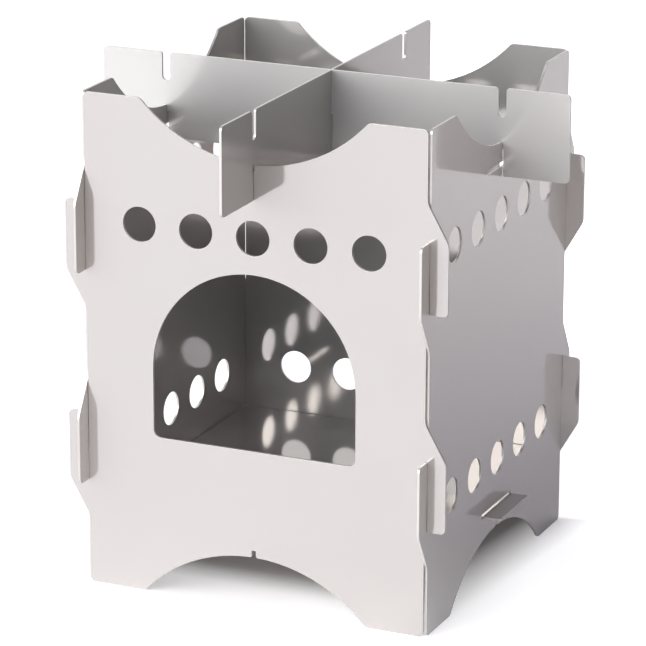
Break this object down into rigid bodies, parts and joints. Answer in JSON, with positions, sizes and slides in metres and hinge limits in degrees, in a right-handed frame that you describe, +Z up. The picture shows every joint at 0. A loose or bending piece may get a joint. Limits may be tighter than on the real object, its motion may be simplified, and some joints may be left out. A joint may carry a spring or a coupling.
{
  "type": "twig stove",
  "caption": "Square flat-pack twig stove of interlocking sheet-steel walls with an arched fuel door, a tabbed floor plate and crossed pot bars.",
  "frame": {"origin": "on the ground at the middle of the stove, under the crossing of the pot bars", "axes": "+Z up through the pot rest, -Y out through the fuel door, +X to the right seen from the door"},
  "size_m": [0.2, 0.2, 0.2],
  "materials": {
    "wall_sheet": "satin rolled stainless sheet with bright laser-cut edges",
    "floor_sheet": "satin rolled stainless sheet with bright laser-cut edges",
    "bar_sheet": "satin rolled stainless sheet, grain along the bar, with bright laser-cut edges"
  },
  "bodies": {
    "stove": {"front_wall": "wall_sheet", "right_wall": "wall_sheet", "back_wall": "wall_sheet", "left_wall": "wall_sheet", "floor_plate": "floor_sheet"},
    "lower_bar": {"lower_pot_bar": "bar_sheet"},
    "upper_bar": {"upper_pot_bar": "bar_sheet"}
  },
  "joints": [
    {"name": "lower_bar_lift", "type": "slide", "parent": "stove", "child": "lower_bar", "axis": [0, 0, 1], "range_m": [0, 0.06]},
    {"name": "upper_bar_lift", "type": "slide", "parent": "lower_bar", "child": "upper_bar", "axis": [0, 0, 1], "range_m": [0, 0.06]}
  ]
}
